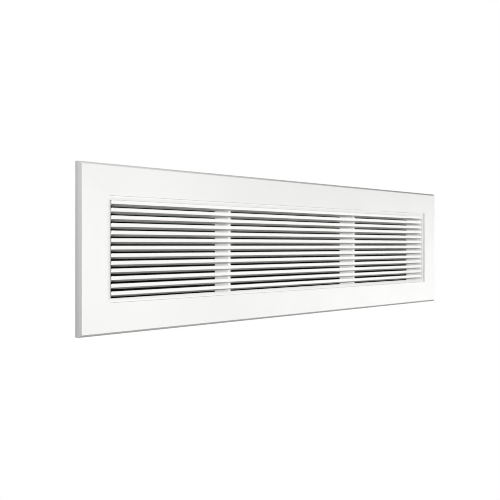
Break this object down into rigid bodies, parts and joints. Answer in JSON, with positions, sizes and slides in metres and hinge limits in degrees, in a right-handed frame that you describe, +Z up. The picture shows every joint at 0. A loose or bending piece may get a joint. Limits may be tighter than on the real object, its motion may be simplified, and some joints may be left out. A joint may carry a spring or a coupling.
{
  "type": "louvred air grille",
  "caption": "Long white wall grille with a bevelled flange and a lift-out core of sloping horizontal blades over a black filter pad.",
  "frame": {"origin": "middle of the neck in the plane of the wall that the flange lies on", "axes": "+X along the grille, +Y through the wall away from the room, so the front faces -Y, and +Z up"},
  "size_m": [1.055, 0.0647, 0.28],
  "materials": {
    "white_coat": "satin",
    "zinc_plate": "satin",
    "spring_steel": "satin",
    "fastener_steel": "satin",
    "black_rubber": "matte",
    "black_foam": "matte"
  },
  "bodies": {
    "frame": {"frame_top_rail": "white_coat", "frame_bottom_rail": "white_coat", "frame_left_stile": "white_coat", "frame_right_stile": "white_coat", "corner_key_top_left": "zinc_plate", "corner_key_top_right": "zinc_plate", "corner_key_bottom_left": "zinc_plate", "corner_key_bottom_right": "zinc_plate", "key_set_screws": "fastener_steel", "wall_seal_top": "black_rubber", "wall_seal_bottom": "black_rubber", "wall_seal_left": "black_rubber", "wall_seal_right": "black_rubber", "filter_pad": "black_foam", "filter_strap_left": "zinc_plate", "filter_strap_right": "zinc_plate", "strap_rivets": "fastener_steel"},
    "core": {"core_top_rail": "white_coat", "core_bottom_rail": "white_coat", "core_left_end": "white_coat", "core_right_end": "white_coat", "blade_01": "white_coat", "blade_02": "white_coat", "blade_03": "white_coat", "blade_04": "white_coat", "blade_05": "white_coat", "blade_06": "white_coat", "blade_07": "white_coat", "blade_08": "white_coat", "blade_09": "white_coat", "blade_10": "white_coat", "blade_11": "white_coat", "blade_12": "white_coat", "blade_13": "white_coat", "mullion_left": "white_coat", "mullion_right": "white_coat", "mullion_screws": "fastener_steel", "spring_clip_top_left": "spring_steel", "spring_clip_top_right": "spring_steel", "spring_clip_bottom_left": "spring_steel", "spring_clip_bottom_right": "spring_steel", "clip_rivets": "fastener_steel"}
  },
  "joints": [
    {"name": "core_pull", "type": "slide", "parent": "frame", "child": "core", "axis": [0, -1, 0], "range_m": [0, 0.09]}
  ]
}
